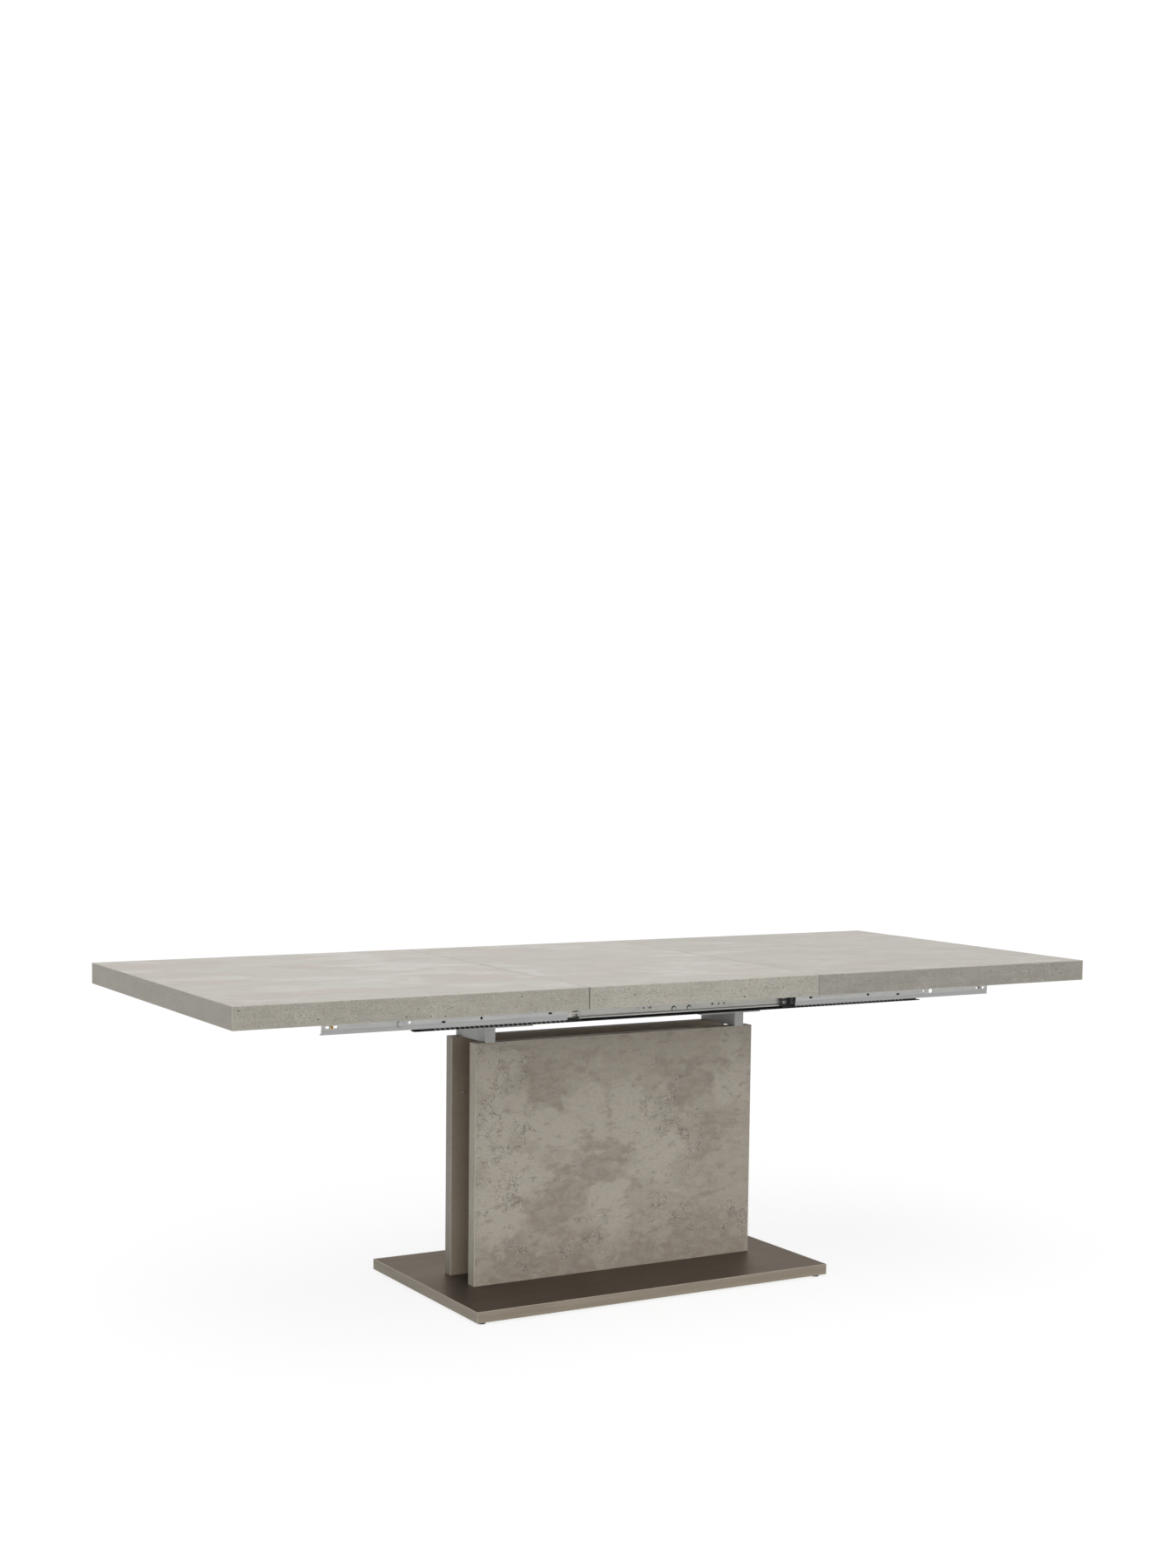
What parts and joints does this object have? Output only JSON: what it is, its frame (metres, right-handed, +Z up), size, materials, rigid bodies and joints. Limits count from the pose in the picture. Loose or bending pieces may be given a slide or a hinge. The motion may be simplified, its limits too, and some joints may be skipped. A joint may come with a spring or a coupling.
{
  "type": "extendable dining table",
  "caption": "Long rectangular pedestal dining table whose top parts slide apart on ball slides under it, with a loose leaf laid between them on a slab column and a wide base plate.",
  "frame": {"origin": "on the floor, under the middle of the pulled out top", "axes": "+X along the length of the top, +Y to the rear long side, +Z up"},
  "size_m": [2.2, 0.9, 0.755],
  "materials": {
    "concrete_laminate": "light concrete-look laminate on board, fine streaks along the length",
    "concrete_band": "concrete-look edge band with small dark pits",
    "column_laminate": "mottled grey-brown concrete-look laminate on board",
    "column_band": "concrete-look edge band",
    "bronze_board": "dark bronze satin laminate on board",
    "bronze_band": "metallic bronze edge band",
    "raw_board": "raw chipboard",
    "grey_paint": "grey powder coat, satin",
    "zinc_steel": "zinc plated, rolled",
    "yellow_zinc": "yellow zinc plated",
    "black_plastic": "moulded, satin",
    "ball_steel": "ground and polished",
    "grey_felt": "pressed felt",
    "beech": "turned, bare"
  },
  "bodies": {
    "pedestal": {"base_plate": "bronze_board", "base_plate_bands": "bronze_band", "bracket_screws": "zinc_steel", "carrier_bolts": "zinc_steel", "centre_strut": "grey_paint", "column_brackets": "zinc_steel", "column_spacers": "raw_board", "crossbar_caps": "grey_paint", "foot_glides": "black_plastic", "front_column_panel": "column_laminate", "front_fixed_rail": "zinc_steel", "front_panel_bands": "column_band", "left_carrier_plate": "grey_paint", "left_cross_strut": "grey_paint", "left_crossbar": "grey_paint", "left_riser": "grey_paint", "panel_fittings": "zinc_steel", "panel_inserts": "zinc_steel", "rail_screws": "zinc_steel", "rail_stops": "black_plastic", "rear_column_panel": "column_laminate", "rear_fixed_rail": "zinc_steel", "rear_panel_bands": "column_band", "right_carrier_plate": "grey_paint", "right_cross_strut": "grey_paint", "right_crossbar": "grey_paint", "right_riser": "grey_paint", "strut_end_plates": "grey_paint"},
    "left_half": {"left_top": "concrete_laminate", "left_top_bands": "concrete_band", "left_front_runner": "zinc_steel", "left_rear_runner": "zinc_steel", "left_runner_screws": "yellow_zinc", "left_cage_stop_screws": "yellow_zinc", "left_cage_stop_nuts": "yellow_zinc"},
    "right_half": {"right_top": "concrete_laminate", "right_top_bands": "concrete_band", "right_front_runner": "zinc_steel", "right_rear_runner": "zinc_steel", "right_runner_screws": "yellow_zinc", "right_cage_stop_screws": "yellow_zinc", "right_cage_stop_nuts": "yellow_zinc"},
    "left_cages": {"left_front_cage": "black_plastic", "left_rear_cage": "black_plastic", "left_balls": "ball_steel"},
    "right_cages": {"right_front_cage": "black_plastic", "right_rear_cage": "black_plastic", "right_balls": "ball_steel"},
    "leaf": {"leaf": "concrete_laminate", "leaf_bands": "concrete_band", "leaf_pads": "grey_felt", "leaf_pegs": "beech"}
  },
  "joints": [
    {"name": "left_half_slide", "type": "slide", "parent": "pedestal", "child": "left_half", "axis": [-1, 0, 0], "range_m": [0, 0.02]},
    {"name": "right_half_slide", "type": "slide", "parent": "pedestal", "child": "right_half", "axis": [1, 0, 0], "range_m": [0, 0.02]},
    {"name": "left_cage_slide", "type": "slide", "parent": "pedestal", "child": "left_cages", "axis": [-1, 0, 0], "range_m": [0, 0.01]},
    {"name": "right_cage_slide", "type": "slide", "parent": "pedestal", "child": "right_cages", "axis": [1, 0, 0], "range_m": [0, 0.01]},
    {"name": "leaf_lift", "type": "slide", "parent": "pedestal", "child": "leaf", "axis": [0, 0, 1], "range_m": [0, 0.25]}
  ],
  "couplings": [
    {"joint": "left_cage_slide", "follows": "left_half_slide", "ratio": 0.5},
    {"joint": "right_cage_slide", "follows": "right_half_slide", "ratio": 0.5}
  ]
}
